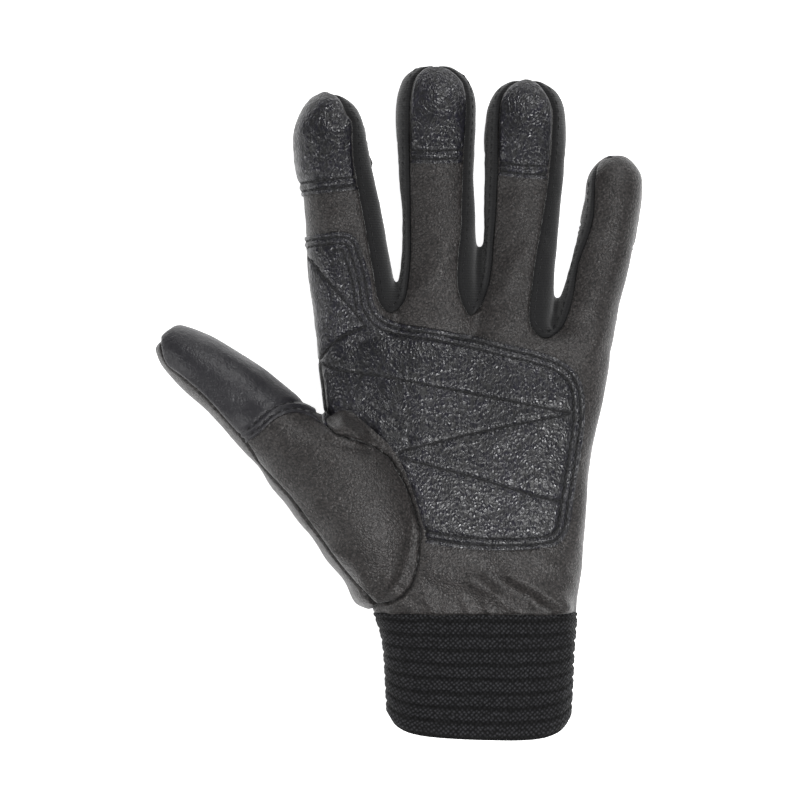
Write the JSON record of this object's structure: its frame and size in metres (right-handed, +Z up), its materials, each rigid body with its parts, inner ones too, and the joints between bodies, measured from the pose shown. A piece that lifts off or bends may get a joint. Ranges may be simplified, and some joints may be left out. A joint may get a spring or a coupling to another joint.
{
  "type": "synthetic leather work glove",
  "caption": "Left-hand work glove in synthetic leather with reinforced palm and fingertips, cloth back, ribbed cuff and wrist strap, lying palm up.",
  "frame": {"origin": "centre of the glove's outline, on the surface it rests on", "axes": "+Y towards the fingertips, +Z up from the resting surface, the palm side facing up, and the thumb on the -X side"},
  "size_m": [0.1732, 0.2374, 0.0382],
  "materials": {
    "synthetic_leather": "fine pebble grain, matt",
    "stretch_fabric": "fine knit",
    "mesh_fabric": "diagonal spacer mesh",
    "knit_fabric": "fine plain knit",
    "piping_cord": "coated cord",
    "grained_patch_leather": "coarse grain, semi-gloss",
    "smooth_cap_leather": "fine grain, satin",
    "ribbed_elastic": "ribbed elastic knit with a fine twill",
    "strap_leather": "matt",
    "binding_tape": "woven tape",
    "badge_rubber": "satin moulded rubber"
  },
  "bodies": {
    "root": {"palm_panel": "synthetic_leather", "fourchette_index_middle": "stretch_fabric", "fourchette_middle_ring": "stretch_fabric", "fourchette_ring_little": "stretch_fabric", "thumb_front": "synthetic_leather", "thumb_back": "synthetic_leather", "back_upper": "mesh_fabric", "knuckle_panel": "knit_fabric", "back_lower": "mesh_fabric", "piping": "piping_cord", "palm_patch": "grained_patch_leather", "tip_patch_index": "grained_patch_leather", "tip_patch_middle": "grained_patch_leather", "tip_patch_ring": "grained_patch_leather", "thumb_cap": "smooth_cap_leather", "side_panel": "synthetic_leather", "back_cap_middle": "synthetic_leather", "back_cap_ring": "synthetic_leather", "back_cap_little": "synthetic_leather", "cuff": "ribbed_elastic", "wrist_strap": "strap_leather", "strap_binding": "binding_tape", "strap_badge": "badge_rubber"}
  },
  "joints": []
}
